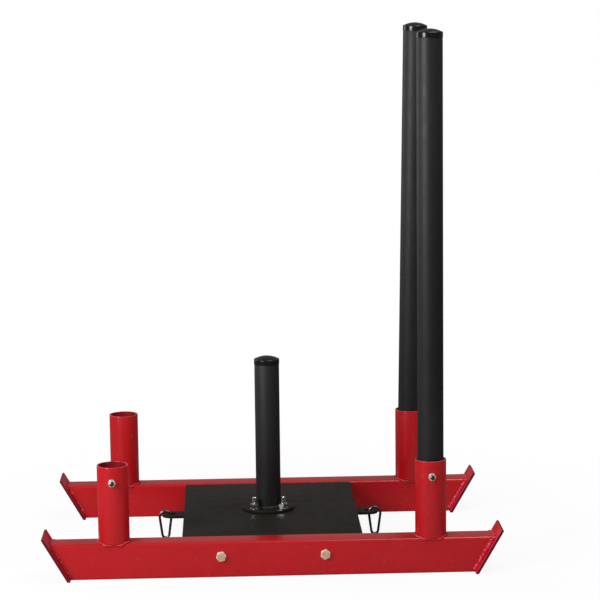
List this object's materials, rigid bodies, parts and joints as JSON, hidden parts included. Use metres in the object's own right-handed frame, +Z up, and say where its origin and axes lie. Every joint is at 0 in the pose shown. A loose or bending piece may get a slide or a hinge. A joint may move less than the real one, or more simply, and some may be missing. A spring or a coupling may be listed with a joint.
{
  "type": "weight sled",
  "caption": "Push-pull weight sled with two skid-ended runners, a bolted platform with a plate post, pole sockets, lift-out push poles and snap hooks on tow lugs.",
  "frame": {"origin": "on the floor under the middle of the sled", "axes": "+X along the runners towards the end whose sockets hold the push poles, +Y across the sled, +Z up along the poles"},
  "size_m": [0.885, 0.5722, 1.0406],
  "materials": {
    "red_paint": "glossy powder coat",
    "black_paint": "satin powder coat",
    "black_plastic": "glossy",
    "zinc": "yellowish zinc plating",
    "bright_steel": "bright zinc plating"
  },
  "bodies": {
    "sled": {"runner_near": "red_paint", "runner_far": "red_paint", "skid_plate_near_left": "red_paint", "skid_plate_near_right": "red_paint", "skid_plate_far_left": "red_paint", "skid_plate_far_right": "red_paint", "pole_socket_near_left": "red_paint", "pole_socket_near_right": "red_paint", "pole_socket_far_left": "red_paint", "pole_socket_far_right": "red_paint", "lock_nut_near_left": "bright_steel", "lock_nut_near_right": "bright_steel", "lock_nut_far_left": "bright_steel", "lock_nut_far_right": "bright_steel", "platform": "black_paint", "post_flange": "black_paint", "post_tube": "black_paint", "post_cap": "black_plastic", "flange_bolt_near_left": "bright_steel", "flange_bolt_near_right": "bright_steel", "flange_bolt_far": "bright_steel", "flange_washer_near_left": "bright_steel", "flange_washer_near_right": "bright_steel", "flange_washer_far": "bright_steel", "flange_nut_near_left": "bright_steel", "flange_nut_near_right": "bright_steel", "flange_nut_far": "bright_steel", "side_bolt_near_left": "zinc", "side_bolt_near_right": "zinc", "side_bolt_far_left": "zinc", "side_bolt_far_right": "zinc", "side_nut_near_left": "zinc", "side_nut_near_right": "zinc", "side_nut_far_left": "zinc", "side_nut_far_right": "zinc", "tow_lug_left": "black_paint", "tow_lug_right": "black_paint"},
    "pole_near": {"pole_near_tube": "black_paint", "pole_near_cap": "black_plastic", "pole_near_plug": "black_plastic"},
    "pole_far": {"pole_far_tube": "black_paint", "pole_far_cap": "black_plastic", "pole_far_plug": "black_plastic"},
    "screw_near_left": {"lock_screw_near_left": "bright_steel"},
    "screw_near_right": {"lock_screw_near_right": "bright_steel"},
    "screw_far_left": {"lock_screw_far_left": "bright_steel"},
    "screw_far_right": {"lock_screw_far_right": "bright_steel"},
    "snap_hook_left": {"hook_left": "bright_steel", "gate_pin_left": "bright_steel"},
    "snap_hook_right": {"hook_right": "bright_steel", "gate_pin_right": "bright_steel"},
    "gate_left": {"hook_gate_left": "bright_steel"},
    "gate_right": {"hook_gate_right": "bright_steel"}
  },
  "joints": [
    {"name": "pole_near_lift", "type": "slide", "parent": "sled", "child": "pole_near", "axis": [0, 0, 1], "range_m": [0, 0.16]},
    {"name": "pole_far_lift", "type": "slide", "parent": "sled", "child": "pole_far", "axis": [0.0175, 0, 0.9998], "range_m": [0, 0.16]},
    {"name": "screw_near_left_turn", "type": "hinge", "parent": "sled", "child": "screw_near_left", "pos_m": [-0.305, -0.2758, 0.1915], "axis": [0, -1, 0], "range_deg": [0, 720]},
    {"name": "screw_near_right_turn", "type": "hinge", "parent": "sled", "child": "screw_near_right", "pos_m": [0.305, -0.2758, 0.1915], "axis": [0, -1, 0], "range_deg": [0, 720]},
    {"name": "screw_far_left_turn", "type": "hinge", "parent": "sled", "child": "screw_far_left", "pos_m": [-0.305, 0.2758, 0.1915], "axis": [0, 1, 0], "range_deg": [0, 720]},
    {"name": "screw_far_right_turn", "type": "hinge", "parent": "sled", "child": "screw_far_right", "pos_m": [0.305, 0.2758, 0.1915], "axis": [0, 1, 0], "range_deg": [0, 720]},
    {"name": "hook_left_swing", "type": "hinge", "parent": "sled", "child": "snap_hook_left", "pos_m": [-0.213, 0, 0.0546], "axis": [0, 1, 0], "range_deg": [-45, 180]},
    {"name": "hook_right_swing", "type": "hinge", "parent": "sled", "child": "snap_hook_right", "pos_m": [0.213, 0, 0.0546], "axis": [0, -1, 0], "range_deg": [-45, 180]},
    {"name": "gate_left_open", "type": "hinge", "parent": "snap_hook_left", "child": "gate_left", "pos_m": [-0.20531, 0, 0.02312], "axis": [0, -1, 0], "range_deg": [0, 20], "stiffness_Nm_per_rad": 0.02, "springref_deg": -11.46},
    {"name": "gate_right_open", "type": "hinge", "parent": "snap_hook_right", "child": "gate_right", "pos_m": [0.20531, 0, 0.02312], "axis": [0, 1, 0], "range_deg": [0, 20], "stiffness_Nm_per_rad": 0.02, "springref_deg": -11.46}
  ]
}
